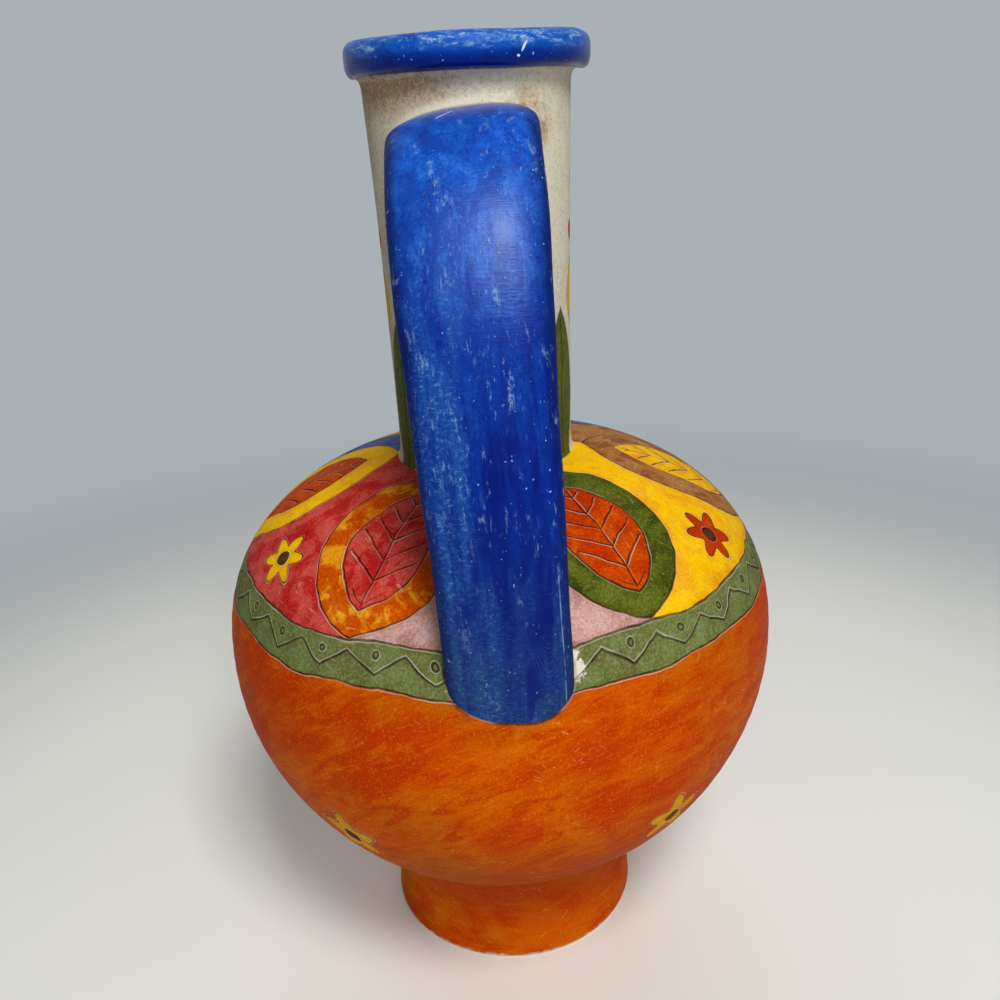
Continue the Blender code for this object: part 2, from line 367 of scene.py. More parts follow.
def strapPoint(share, side):
    face, out = strapFrame(share)
    t = ease((share - strap["taperStart"]) / (strap["taperStop"] - strap["taperStart"]))
    width = blend(strap["widthTop"], strap["widthFoot"], t)
    thick = blend(strap["thickTop"], strap["thickFoot"], t)
    power = 2 / blend(strap["fullnessTop"], strap["fullnessFoot"], t)
    c, s = math.cos(side), math.sin(side)
    x = swell(c, power) * width / 2
    lift = swell(s, power) * thick / 2 - thick / 2
    lift += strap["twist"] * x * (1 - ease(share / strap["twistEnd"]))
    end = ease((share - strap["tongueStart"]) / strap["tongueRun"])
    lift += end * (strap["tongue"] * (strap["tongueCrown"] - abs(c) ** (strap["tongueCurve"] * power)))
    place = face + out * lift
    return Vector((x + strapLean(place.y), -place.x, place.y))


def underClay(p, depth):
    # whether a point lies deeper than this under the neck or the belly
    onNeck = math.hypot(p.x - neck["offset"], p.y) < neckRadius(p.z) - depth
    onBelly = p.z < seam + globe["domeRise"] and math.hypot(p.x, p.y) < globeRadius(p.z) - depth
    return onNeck or onBelly


def jointShare(side, inside, sink):
    # where one line of the strap's skin goes under the pot's surface by the depth sink
    outside = 0.5    # halfway along, the strap is in the open
    for _ in range(strap["halvings"]):
        middle = (inside + outside) / 2
        if underClay(strapPoint(middle, side), sink):
            inside = middle
        else:
            outside = middle
    return outside


def jointTree(inside, raised):
    # points along the line where the strap comes out of the clay raised round its end
    count = strap["jointPoints"]
    tree = KDTree(count)
    for i in range(count):
        side = 2 * math.pi * i / count
        tree.insert(strapPoint(jointShare(side, inside, -raised), side), i)
    tree.balance()
    return tree


upperJoint = jointTree(0.0, neck["fillet"])
lowerJoint = jointTree(1.0, globe["fillet"])
print("strap joints found")


# paint chart
chart = {
    "orange": ink("c84c02"), "redOrange": ink("ba3402"), "paleOrange": ink("d46c06"), "red": ink("cf4a40"),
    "deepRed": ink("b80c12"), "yellow": ink("f8c008"), "ochre": ink("e0a010"), "sage": ink("6c7a42"),
    "mauve": ink("c89e96"), "slate": ink("566494"), "brown": ink("aa723e"), "bark": ink("55331c"),
    "olive": ink("57621a"), "cream": ink("e6e0c8"), "tan": ink("96692c"), "clay": ink("ece2cc"),
    "line": ink("2c1a10"), "amber": ink("b86c08"), "plum": ink("a87474"), "denim": ink("3c52a4"),
    "moss": ink("39420e"), "umber": ink("7c4a24"), "honey": ink("f0a818"), "grain": ink("de8a14"),
    "scuff": ink("f0c88c"), "shadedOrange": ink("984802"), "fleck": ink("6c4e28"), "fired": ink("cfae8a"),
    "firedDark": ink("a9805a"), "firedPale": ink("e0cdb0"), "grog": ink("7d5a3c"),
    "burn": (0.70, 0.46, 0.36, 1.0),    # multiplies a colour where the wash lies thick
}
blues = {
    "cobalt": ink("0450ba"), "sky": ink("2a74d8"), "middle": ink("013294"), "low": ink("012888"),
    "foot": ink("08265e"), "navy": ink("01106a"), "dry": ink("96bee8"), "worn": ink("2a5e9e"),
    "grey": ink("2c4c6c"), "pooledShade": ink("010c50"), "paleMark": ink("e4eaf0"),
    "sheen": (0.40, 0.63, 1.0, 1.0),
}


def layered(w, colour, palette, *coats):
    # lays colours of a palette over the first one, each by its amount
    for name, amount in coats:
        colour = w.mixed(colour, palette[name], amount)
    return colour


def washed(w, colour, p, pool):
    # slip laid on as a wash: burnt patches, thin patches, pigment pooled at the lines, a fine tooth
    wide = p.grain(0.075, 4.0, 0.62, 0.8)
    middle = p.grain(0.27, 4.0, 0.65, 0.4)
    fine = p.grain(1.35, 3.0, 0.75)
    burnt = w.mixed(colour, chart["burn"], 1.0, "MULTIPLY")
    light = w.node("Gamma", None, {0: colour, 1: 0.76})
    even = 1 - w.node("RGBToBW", None, {0: colour}).step(0.36, 0.54) * 0.62    # yellow lies smoother
    deep = (wide.step(0.48, 0.66) * 0.40 + middle.step(0.50, 0.70) * 0.32) * even + pool
    thin = (1 - wide).step(0.50, 0.68) * 0.40 + (1 - middle).step(0.52, 0.70) * 0.30
    colour = w.mixed(colour, burnt, deep.least(1.0))
    colour = w.mixed(colour, light, thin)
    colour = w.mixed(colour, burnt, fine.step(0.49, 0.62) * even * 0.62)
    return w.mixed(colour, light, (1 - fine).step(0.51, 0.64) * 0.60)


def brushed(w, p, tilt):
    # the orange, brushed on in soft strokes of red-orange and paler orange, with bristle marks
    slant = p.turned(tilt)
    broad = slant.times((0.7, 0.7, 1.1)).grain(0.040, 3.0, 0.55, 0.8)
    drift = slant.times((0.8, 0.8, 1.2)).plus((71.0, 13.0, 40.0)).grain(0.022, 2.0, 0.5, 0.6)
    stroke = slant.times((0.42, 0.42, 1.3)).grain(0.16, 5.0, 0.68, 0.8)
    bristle = slant.times((0.16, 0.16, 2.0)).grain(0.9, 3.0, 0.7, 0.2)
    grit = p.grain(1.4, 3.0, 0.7)
    colour = layered(
        w, chart["orange"], chart,
        ("redOrange", broad.step(0.45, 0.60) * 0.85),
        ("paleOrange", (1 - broad).step(0.50, 0.66) * 0.50),
        ("amber", drift.step(0.50, 0.64) * 0.45),
        ("redOrange", stroke.step(0.48, 0.62) * 0.85),
        ("paleOrange", (1 - stroke).step(0.52, 0.68) * 0.55),
        ("grain", bristle.step(0.56, 0.72) * 0.32),
        ("redOrange", (1 - bristle).step(0.54, 0.68) * 0.34),
        ("redOrange", (1 - grit).step(0.53, 0.66) * 0.52),
        ("grain", grit.step(0.56, 0.68) * 0.52))
    return colour, bristle


def scuffs(p):
    # short pale scratches both ways, and specks where the slip has flaked
    slants = [p.turned(tilt).times((0.20, 0.20, 2.4)) for tilt in ((0.2, -0.5, 0.3), (-0.7, 0.4, 0.9))]
    first, second = (slant.grain(0.9, 2.0, 0.6).step(0.67, 0.73) for slant in slants)
    chosen = p.grain(0.05, 2.0).step(0.50, 0.62)
    speck = p.grain(0.85, 2.0, 0.6).step(0.72, 0.77)
    return ((first + second) * chosen).least(1.0), speck


def cutLine(line, burr, p):
    # a line cut through the slip: dark in the groove, a raised burr along one side, paled partly as bare clay and
    # partly as a painted highlight
    waver = p.grain(0.16, 3.0, 0.6).step(0.36, 0.64)
    groove = 1 - line.step(0.06, 0.24 + waver * 0.16)
    ridge = (1 - burr.step(0.06, 0.30)) * (0.25 + p.grain(0.07, 2.0).step(0.42, 0.58) * 0.75)
    return groove, groove * (0.50 + waver * 0.45), ridge


def leafShape(across, down, half, length):
    # signed distance to a leaf with two pointed ends
    r = (half * half + length * length) / (2 * half)
    side = abs(across) + (r - half)
    return side.hypot(down) - r


# what is drawn on the belly, in millimetres
drawing = {
    "bandLow": 136.5, "bandHigh": 147.5,
    "zigs": 30, "zigLow": 3.0, "zigRise": 5.2,    # up from the band's lower line
    "dotDrop": 3.4, "dotRadius": 0.8,    # down from its upper line
    "dotRow": 84.0,    # radius of the belly at the dots
    "bays": 6, "blossoms": 5,
    "burr": 0.46,    # from a line to the ridge beside it
    "brim": 0.25,    # softness of a colour's edge
    "paleMark": (-19.0, 80.5, -142.0),
}
rosette = {"radius": 74.0, "height": 157.2, "slope": 0.95, "petals": 6.0, "size": 7.0, "lobe": 2.2, "eye": 2.4}
blossom = {"radius": 82.5, "height": 78.0, "slope": -0.82, "petals": 5.0, "size": 8.0, "lobe": 2.4, "eye": 2.6}
tallLeaf = {"radius": 59.0, "height": 167.4, "slope": 0.50, "half": 22.0, "length": 30.0,
            "coreDrop": 1.5, "coreHalf": 12.5, "coreLength": 21.0, "veinPitch": 7.0, "veinTilt": 0.8}


def paintedBelly():
    paint, shader, w = newMaterial("paintedBelly")
    flat = millimetres(w)
    p = flat.plus(flat.waver(0.035, 5.0)).plus(flat.waver(0.17, 1.2))    # the hand wavers as it draws
    x, y, z = p.parts()
    rho = x.hypot(y)
    turn = w.math("ARCTAN2", x, -y)
    bays, burr, brim = drawing["bays"], drawing["burr"], drawing["brim"]

    def spread(count, shift):
        # the same drawing count times round the pot: angle within one copy, and the copy's number
        period = 2 * math.pi / count
        shifted = turn - shift * period
        number = w.math("ROUND", shifted / period)
        return shifted - number * period, number

    def around(count, shift, spot):
        # flat millimetres about a spot of each copy: across, down the slope, and the copy's number
        within, number = spread(count, shift)
        slope = spot["slope"]
        norm = math.hypot(1, slope)
        down = (rho * within.cosine() - spot["radius"]) * (1 / norm) - (z - spot["height"]) * (slope / norm)
        return rho * within.sine(), down, number

    blot = flat.grain(0.10, 4.0, 0.62, 0.9).step(0.46, 0.60)

    def byNumber(number, names, seconds=None):
        # a colour for each copy, the middle name for the copy that faces front, blotted with a second one
        count = len(names)
        place = (number + 0.5 + count // 2) / count
        place = place - w.math("FLOOR", place)
        ramps = []
        for row in (names, seconds or names):
            stops = [(i / count, chart[name]) for i, name in enumerate(row)]
            ramps.append(w.node("ValToRGB", {"spread": "CONSTANT", "stops": stops}, {0: place}))
        return w.mixed(ramps[0], ramps[1], blot * 0.8) if seconds else ramps[0]

    drawn = {}

    def outline(shape):
        drawn["line"] = drawn["line"].least(abs(shape))
        drawn["burr"] = drawn["burr"].least(abs(shape - burr))

    def fill(shape, colour, seed):
        # paints inside a shape, over what was drawn there, and cuts its outline
        inside = 1 - shape.step(-brim, brim)
        drawn["colour"] = w.mixed(drawn["colour"], colour, inside)
        drawn["line"] = drawn["line"] + inside * far
        drawn["burr"] = drawn["burr"] + inside * far
        drawn["seed"] = drawn["seed"] * (1 - inside) + inside * seed
        outline(shape)

    def flower(kind, across, reach, down, petals, seed, eyeSeed):
        lobes = (w.math("ARCTAN2", across, down) * kind["petals"]).cosine()
        fill((reach - kind["size"] - lobes * kind["lobe"]) * 0.8, petals, seed)
        fill(reach - kind["eye"], chart["bark"], eyeSeed)

    # orange below, a sage band with a zigzag and dots above it
    orange, hair = brushed(w, flat, (0.5, 0.35, 0.2))
    # painted shade: the orange is mixed darker and browner towards the bottom of the belly
    orange = w.mixed(orange, chart["shadedOrange"], (1 - (z + flat.grain(0.03, 2.0) * 40.0).step(62.0, 118.0)) * 0.75)
    bandLow, bandHigh = drawing["bandLow"], drawing["bandHigh"]
    drawn["line"] = abs(z - bandLow)
    drawn["burr"] = abs(z - bandLow + burr)
    drawn["seed"] = z.step(bandLow - 0.2, bandLow + 0.2) * 2.0
    lowest = 1 - z.step(bandLow - brim, bandLow + brim)
    drawn["colour"] = w.mixed(chart["sage"], orange, lowest)
    within = spread(drawing["zigs"], 0.0)[0]
    zig = abs(within) * (drawing["zigs"] / math.pi)
    outline((z - (bandLow + drawing["zigLow"]) - zig * drawing["zigRise"]) * 0.76)
    dotAcross = within * drawing["dotRow"]
    dotUp = z - (bandHigh - drawing["dotDrop"])
    outline(dotAcross.hypot(dotUp) - drawing["dotRadius"])

    # ground above the band, a colour for each bay between the leaves
    number = spread(bays, 0.0)[1]
    ground = byNumber(number, ["orange", "slate", "red", "mauve", "yellow", "brown"],
                      ["paleOrange", "denim", "deepRed", "plum", "honey", "umber"])
    fill(bandHigh - z, ground, number + 4.0)
    below = 1 - z.step(bandHigh - 0.2, bandHigh + 0.2)
    outline(rho * spread(bays, 0.5)[0].sine() + below * far)

    # rosette in each bay
    across, down, number = around(bays, 0.0, rosette)
    reach = across.hypot(down)
    petals = byNumber(number, ["red", "yellow", "yellow", "yellow", "redOrange", "olive"])
    flower(rosette, across, reach, down, petals, number + 11.0, 18.0)

    # tall leaves round the shoulder
    across, down, number = around(bays, 0.5, tallLeaf)
    leafInk = byNumber(number, ["yellow", "yellow", "orange", "olive", "brown", "slate"],
                       ["honey", "honey", "honey", "moss", "umber", "denim"])
    fill(leafShape(across, down, tallLeaf["half"], tallLeaf["length"]), leafInk, number + 21.0)
    core = leafShape(across, down - tallLeaf["coreDrop"], tallLeaf["coreHalf"], tallLeaf["coreLength"])
    coreInk = byNumber(number, ["olive", "orange", "red", "redOrange", "yellow", "ochre"],
                       ["moss", "redOrange", "deepRed", "orange", "honey", "honey"])
    fill(core, coreInk, number + 31.0)
    outer = core.step(-1.5, -1.1) * far
    outline(across + outer)
    outline((down + abs(across) * tallLeaf["veinTilt"]).fold(tallLeaf["veinPitch"]) * 0.78 + outer)

    # blossoms low on the orange
    across, down = around(drawing["blossoms"], 0.5, blossom)[:2]
    reach = across.hypot(down) + z.step(110.0, 111.0) * far
    flower(blossom, across, reach, down, chart["ochre"], 41.0, 42.0)

    line, seed = drawn["line"], drawn["seed"]
    pool = (1 - line.step(0.2, 3.2)) * flat.grain(0.12, 3.0, 0.6).step(0.35, 0.65) * 0.55
    shifted = flat.plus(w.vector(seed * 31.0, seed * 17.0, seed * 23.0))
    colour = w.mixed(washed(w, drawn["colour"], shifted, pool), drawn["colour"], 1 - seed.step(0.2, 0.6))
    groove, dark, ridge = cutLine(line, drawn["burr"], flat)
    # the pale on the burr is partly a painted highlight
    colour = layered(w, colour, chart, ("clay", ridge * 0.36), ("line", dark * 0.88))

    # bare smears, and a crease round the handle's end: dark, partly dirt and partly painted shade, and pale in
    # places, partly bare clay and partly a painted highlight
    gap = w.node("Attribute", {"attribute_name": "gap"}, out="Fac")
    rubbed = flat.plus(drawing["paleMark"]).times((0.8, 0.5, 0.6)).length()
    smear = 1 - (rubbed * 0.17 + flat.grain(0.42, 4.0, 0.7) * 1.2 + gap * 0.06).step(1.14, 1.28)
    side = flat.grain(0.07, 2.0).step(0.46, 0.58)
    scratch, speck = scuffs(flat)
    colour = layered(
        w, colour, chart, ("clay", smear * 0.85),
        ("clay", (1 - gap.step(0.3, 1.0)) * side * 0.25),
        ("line", (1 - gap.step(0.3, 1.5)) * (0.92 - side * 0.55)),
        ("scuff", (scratch * 0.40 + speck * 0.50).least(1.0)))

    tooth = flat.grain(1.3, 3.0, 0.65)
    roughness = 0.38 + tooth * 0.16 + groove * 0.25 + scratch * 0.1
    height = tooth * 0.12 + flat.grain(0.22, 2.0) * 0.16 - groove * 0.42 + ridge * 0.20
    height = height + smear * 0.18 - speck * 0.08 - hair.step(0.55, 0.75) * 0.05
    coat(w, shader, colour, roughness, height, 0.009)
    return paint


def orangeFoot():
    paint, shader, w = newMaterial("orangeFoot")
    p = millimetres(w)
    z = p.parts()[2]
    colour, bristle = brushed(w, p, (0.05, 0.0, 0.4))
    # painted shade: the foot's top, under the belly, is mixed darker red-brown, and only its lower part gets paler
    # streaks
    upper = z.step(10.0, 34.0)
    ragged = z + p.grain(0.45, 3.0, 0.6) * 3.0
    worn = 1 - ragged.step(2.0, 3.4)
    scratch, speck = scuffs(p)
    colour = layered(
        w, colour, chart,
        ("paleOrange", (1 - upper) * p.grain(0.06, 2.0).step(0.40, 0.60) * 0.45),
        ("redOrange", upper * 0.45), ("umber", upper * 0.30), ("clay", worn * 0.8),
        ("scuff", (scratch * 0.35 + speck * 0.45).least(1.0)))
    tooth = p.grain(1.3, 3.0, 0.65)
    roughness = 0.38 + tooth * 0.16 + worn * 0.3 + bristle * 0.05
    coat(w, shader, colour, roughness, tooth * 0.12 + p.grain(0.22, 2.0) * 0.16 - worn * 0.2, 0.009)
    return paint


# what is drawn on the neck, in millimetres above the shoulder
collar = {
    "leaves": 9, "leafMiddle": 20.0, "leafHalf": 8.8, "leafLength": 27.0,
    "budMiddle": 31.0,  # above the leaf's middle, as the berry is
    "budHalf": 4.6, "budLength": 10.0, "berryMiddle": 49.0, "berryRadius": 2.8,
}


def creamNeck():
    paint, shader, w = newMaterial("creamNeck")
    flat = millimetres(w)
    x, y, z = flat.plus(flat.waver(0.05, 3.0)).parts()
    x = x - neck["offset"] * perMetre
    underRim = rimLow.z * perMetre
    rho = x.hypot(y)
    turn = w.math("ARCTAN2", x, -y)
    fibre = flat.grain(0.95, 5.0, 0.78, 0.9)
    grit = flat.times((1.2, 1.2, 0.8)).grain(1.6, 4.0, 0.8, 0.8)
    cloud = flat.grain(0.055, 3.0, 0.55)
    gap = w.node("Attribute", {"attribute_name": "gap"}, out="Fac")
    # darker under the rim, partly stain and partly a painted shadow of the rim, and darker down the left side, a
    # painted shade; the clouds and the brown beside the strap are stain
    under = (z + cloud * 5.0).step(underRim - 11.0, underRim + 1.0)
    shaded = (-x).step(-8.0, 20.0)
    beside = (1 - gap.step(1.5, 9.0)) * x.step(8.0, 17.0) * flat.grain(0.13, 3.0, 0.6).step(0.38, 0.60)
    stainAndShade = cloud.step(0.48, 0.66) * 0.25 + shaded * 0.22 + under * (0.14 + shaded * 0.80) + beside * 0.9
    stainAndShade = stainAndShade.least(1.0)
    pale = z.step(underRim - 1.7, underRim - 0.9) * flat.grain(0.4, 3.0).step(0.35, 0.50)
    # paler clay round the strap's top on the left, partly a painted highlight
    halo = (1 - gap.step(0.8, 3.4)) * (-x).step(-10.0, 4.0)
    colour = layered(
        w, chart["cream"], chart, ("tan", stainAndShade * 0.72),
        ("tan", fibre.step(0.49, 0.60) * (0.26 + stainAndShade * 0.25)),
        ("fleck", grit.step(0.54, 0.66) * (0.24 + stainAndShade * 0.40)),
        ("cream", (1 - fibre).step(0.50, 0.64) * 0.5),
        ("clay", (pale * 0.4 + halo * 0.8).least(1.0)))

    # leaf collar standing on the shoulder, with buds and berries over it
    period = 2 * math.pi / collar["leaves"]
    middle = neckBase * perMetre + collar["leafMiddle"]
    between = w.math("ROUND", turn / period)
    nearest = w.math("ROUND", turn / period - 0.5) + 0.5
    onLeaf = rho * (turn - nearest * period).sine()
    onBud = rho * (turn - between * period).sine()
    leaf = leafShape(onLeaf, z - middle, collar["leafHalf"], collar["leafLength"])
    bud = leafShape(onBud, z - (middle + collar["budMiddle"]), collar["budHalf"], collar["budLength"])
    berryUp = z - (middle + collar["berryMiddle"])
    berry = onBud.hypot(berryUp) - collar["berryRadius"]
    brim = drawing["brim"]
    painted = colour
    for shape, name in ((leaf, "olive"), (bud, "yellow"), (berry, "red")):
        painted = w.mixed(painted, chart[name], 1 - shape.step(-brim, brim))
    shape = leaf.least(bud).least(berry)
    colour = w.mixed(colour, washed(w, painted, flat, 0.15), 1 - shape.step(-brim, brim))
    line = abs(shape).least(abs(onLeaf) + leaf.step(-1.6, -1.2) * far)
    groove, dark, ridge = cutLine(line, abs(shape - drawing["burr"]), flat)
    # the pale on the burr is partly a painted highlight
    colour = layered(
        w, colour, chart, ("clay", ridge * 0.5), ("line", dark * 0.8),
        ("line", (1 - gap.step(0.1, 0.7)) * 0.6))
    roughness = 0.56 + grit * 0.18 + groove * 0.2
    height = fibre * 0.30 + grit * 0.10 - groove * 0.38 + ridge * 0.18
    coat(w, shader, colour, roughness, height, 0.14)
    return paint


# where the strap is worn, in millimetres across it and down from its top
wear = {
    "length": strap["mapLength"] * perMetre, "taper": (66.0, 160.0),
    "leftSide": (70.0, 118.0), "lowerEnd": (146.0, 166.0),
    "nickGlintSlope": 1.41, "nickGlintDown": 26.3,    # a short pale line by the upper end, partly a scratch and partly a painted highlight
    "nickGlintLeft": (-6.9, -6.1), "nickGlintRight": (-2.6, -1.8),
    "edgeLineAcross": 14.4, "edgeLineStart": (146.0, 154.0),    # a long pale line by the right edge
    "polishStart": (44.0, 70.0), "polishEnd": (80.0, 112.0),
    "trackPitch": 0.85,    # finger tracks at the lower end
}


def blueStrap():
    paint, shader, w = newMaterial("blueStrap")
    flat = millimetres(w)
    p = w.node("Attribute", {"attribute_name": "strapMap"}, out="Vector")
    across, along, lift = p.parts()
    patch = p.times((1.0, 0.42, 1.0)).grain(0.080, 3.0, 0.6, 0.6)
    streak = p.times((0.30, 0.026, 0.3)).grain(1.0, 4.0, 0.62, 0.3)
    fine = p.grain(1.2, 3.0, 0.75)
    stops = [(0.30, blues["cobalt"]), (0.54, blues["middle"]), (0.72, blues["low"]), (0.92, blues["foot"])]
    colour = w.node("ValToRGB", {"stops": stops}, {0: along / wear["length"]})
    mottle = p.times((1.0, 0.6, 1.0)).grain(0.20, 4.0, 0.7, 0.4)
    deep = streak.step(0.48, 0.64) * 0.55 + patch.step(0.48, 0.62) * 0.75
    halfTop, halfFoot = (strap[key] * perMetre / 2 for key in ("widthTop", "widthFoot"))
    half = halfTop - along.step(*wear["taper"]) * (halfTop - halfFoot)
    rounded = (abs(across) / half + p.grain(0.12, 3.0) * 0.16).step(0.84, 1.05)
    # the strap's rounded edges, darkened with pooled blue: partly pooled glaze, partly painted shade
    edge = (1 - abs(lift).step(1.2, 4.6)).most(rounded)
    colour = layered(
        w, colour, blues, ("low", mottle.step(0.48, 0.62) * 0.55),
        ("sky", (1 - mottle).step(0.50, 0.66) * (0.45 - along.step(80.0, 120.0) * 0.33)),
        ("navy", deep.least(0.92) * (0.25 + along.step(85.0, 125.0) * 0.75)),
        ("navy", fine.step(0.50, 0.64) * 0.55),
        ("pooledShade", edge * 0.85))

    # worn thin down the left side and over the lower end, where hands go
    left = 1 - (across + p.grain(0.09, 3.0, 0.6) * 14.0).step(-2.0, 6.0)
    lower = along.step(*wear["lowerEnd"])
    worn = (left * along.step(*wear["leftSide"]) + lower * 0.8).least(1.0)
    worn = worn * (1 - patch).step(0.36, 0.56) * (1 - edge * 0.75)
    crumb = p.times((0.7, 1.4, 1.0)).grain(1.0, 4.0, 0.8)
    thinned = w.mixed(blues["worn"], blues["grey"], lower * 0.7)
    run = (1 - streak).step(0.42, 0.62)
    colour = w.mixed(colour, thinned, worn * (0.10 + crumb.step(0.46, 0.60) * (0.35 + run * 0.35) + run * 0.20))
    swirl = ((along + p.grain(0.07, 1.0) * 26.0) * (2 * math.pi / wear["trackPitch"])).sine()
    tracks = lower * swirl.step(0.2, 0.9) * p.grain(0.11, 2.0).step(0.45, 0.60)
    colour = layered(
        w, colour, blues,
        ("dry", worn * crumb.step(0.58, 0.70) * (0.25 + run * 0.35 - lower * 0.20)),
        ("worn", tracks * crumb.step(0.40, 0.56) * 0.32))

    # dry brush marks and flecks, then two pale lines: a short one, partly a scratch and partly a painted
    # highlight, and a long one by the right edge
    dashes = p.times((1.0, 0.28, 1.0)).grain(0.9, 4.0, 0.75, 0.15)
    thin = (1 - patch).step(0.46, 0.62) * 0.7 + (1 - streak).step(0.50, 0.66) * 0.5
    dab = p.times((1.2, 0.45, 1.0)).grain(0.20, 4.0, 0.75, 0.2).step(0.58, 0.70) * fine.step(0.40, 0.54)
    dry = (thin * dashes.step(0.58, 0.69) + dab * 0.7).least(1.0) * (1 - lower * 0.7)
    fleck = p.grain(0.8, 2.0, 0.6).step(0.70, 0.75)
    # the short pale line at the strap's crest, partly a painted highlight
    nickAndGlint = 1 - abs(along + across * wear["nickGlintSlope"] - wear["nickGlintDown"]).step(0.25, 0.75)
    nickAndGlint = nickAndGlint * across.step(*wear["nickGlintLeft"]) * (1 - across.step(*wear["nickGlintRight"]))
    edgeLine = (1 - abs(across - wear["edgeLineAcross"]).step(0.05, 0.24)) * along.step(*wear["edgeLineStart"])
    edgeLine = edgeLine * p.grain(0.25, 3.0).step(0.36, 0.56)
    colour = layered(
        w, colour, blues, ("dry", dry * 0.55), ("dry", fleck * 0.75),
        ("paleMark", nickAndGlint * 0.6), ("dry", edgeLine * 0.5))
    tooth = flat.grain(1.2, 3.0, 0.65)
    brush = p.times((0.25, 2.0, 0.5)).grain(0.9, 2.0, 0.6)
    roughness = 0.27 + tooth * 0.10 + dry * 0.2 + worn * 0.2 + edge * 0.3
    height = brush * 0.07 + tooth * 0.05 + streak * 0.12 + fleck * 0.16 + dry * 0.10 + tracks * 0.03
    height = height + crumb * worn * 0.10 + flat.grain(0.16, 2.0) * 0.25 - edgeLine * 0.12
    coat(w, shader, colour, roughness, height, 0.26, blues["sheen"])

    # polished by the hand on the bend
    polish = along.step(*wear["polishStart"]) * (1 - along.step(*wear["polishEnd"])) * (1 - dry * 0.5) * (1 - edge)
    polish = polish * (0.20 + patch.step(0.40, 0.60) * 0.12)
    polish.into(shader, "Coat Weight")
    shader.inputs["Coat Roughness"].default_value = 0.38
    return paint


# the rim's shape in metres, and where its painted highlight sits in millimetres
rim = {
    "skirtInset": 0.0006,    # the roll's underside starts inside the neck's wall
    "squareBelow": 0.62, "squareAbove": 0.72, "squareInside": 0.85,    # 1 is an oval, less is squarer
    "seat": 0.001,
    "sag": 0.0012, "sagStart": 0.86, "sagRun": 0.12,    # hangs lower at both sides
    "turns": 256, "steps": 20,
    "wobble": 0.00045, "wobbleSize": 0.03, "fineSize": 0.009, "fineShare": 0.3,
    "settle": 0.6,    # keeps the wobble under the mouth's height
    "paleMark": (-14.2, 32.3, -295.2), "dot": (-12.6, 32.9, -292.9),
}


def blueRim():
    paint, shader, w = newMaterial("blueRim")
    flat = millimetres(w)
    x, y, z = flat.parts()
    rho = x.hypot(y)
    rise = (z - rimLow.z * perMetre) / ((rimHigh.z - rimLow.z) * perMetre)
    p = w.vector(x * 0.42, y * 0.42, (z - rho) * 1.1)    # marks that run round the rim
    streak = p.grain(0.45, 5.0, 0.78, 0.5)
    # shifted so that the pale part of the scuffs, partly a painted highlight, falls in the middle of the front
    patch = flat.plus((24.0, 10.0, 0.0)).grain(0.085, 3.0, 0.6, 0.6)
    fine = flat.grain(1.2, 3.0, 0.75)
    # painted shade and light: navy along the roll's underside, brighter cobalt over its top
    colour = layered(
        w, blues["low"], blues, ("cobalt", rise.step(0.25, 0.65)),
        ("navy", (1 - rise.step(0.10, 0.60)) * 0.62),
        ("navy", patch.step(0.50, 0.64) * 0.65),
        ("navy", fine.step(0.50, 0.66) * 0.40))

    # pale along the upper part, partly scuffs and partly a painted highlight, and bare along the lower edge
    scuffsAndSheen = (rise + p.grain(0.25, 2.0) * 0.3).step(0.58, 0.86) * (1 - patch).step(0.34, 0.56)
    fleck = flat.grain(0.8, 2.0, 0.6).step(0.70, 0.75)
    colour = layered(
        w, colour, blues, ("worn", scuffsAndSheen * streak.step(0.42, 0.56) * 0.85),
        ("dry", scuffsAndSheen * streak.step(0.49, 0.63) * fine.step(0.36, 0.54) * 0.85),
        ("dry", fleck * 0.85))
    bare = 1 - (rise + flat.grain(0.35, 3.0, 0.6) * 0.30).step(0.07, 0.12)
    colour = w.mixed(colour, chart["clay"], bare * 0.75)
    # painted highlight: a pale slash and dot on the rim
    slant = flat.plus(rim["paleMark"]).turned((0.0, -0.5, 0.0))
    paleMark = 1 - slant.times((3.1, 0.4, 0.62)).length().step(0.8, 1.1)
    dot = 1 - flat.plus(rim["dot"]).times((1.0, 0.3, 1.3)).length().step(0.32, 0.56)
    paleMark = (paleMark + dot).least(1.0)
    colour = w.mixed(colour, blues["paleMark"], paleMark * 0.9)
    tooth = flat.grain(1.2, 3.0, 0.65)
    roughness = 0.21 + tooth * 0.10 + scuffsAndSheen * 0.12 + bare * 0.3
    height = streak * 0.12 + tooth * 0.06 + fleck * 0.12 + flat.grain(0.16, 2.0) * 0.25 - bare * 0.15 - paleMark * 0.2
    coat(w, shader, colour, roughness, height, 0.30, blues["sheen"])
    return paint


def bareClay():
    paint, shader, w = newMaterial("bareClay")
    p = millimetres(w)
    wide = p.grain(0.07, 3.0, 0.6, 0.6)
    ring = p.times((0.08, 0.08, 1.0)).grain(0.5, 2.0)
    grit = p.grain(1.2, 3.0, 0.65)
    colour = layered(
        w, chart["fired"], chart, ("firedDark", wide.step(0.45, 0.68) * 0.7),
        ("firedPale", ring.step(0.48, 0.66) * 0.5), ("grog", grit.step(0.60, 0.74) * 0.5))
    coat(w, shader, colour, 0.74 + grit * 0.12, ring * 0.30 + grit * 0.10, 0.25)
    return paint


bellyPaint = paintedBelly()
footPaint = orangeFoot()
neckPaint = creamNeck()
strapPaint = blueStrap()
rimPaint = blueRim()
clayPaint = bareClay()
print("paints mixed")


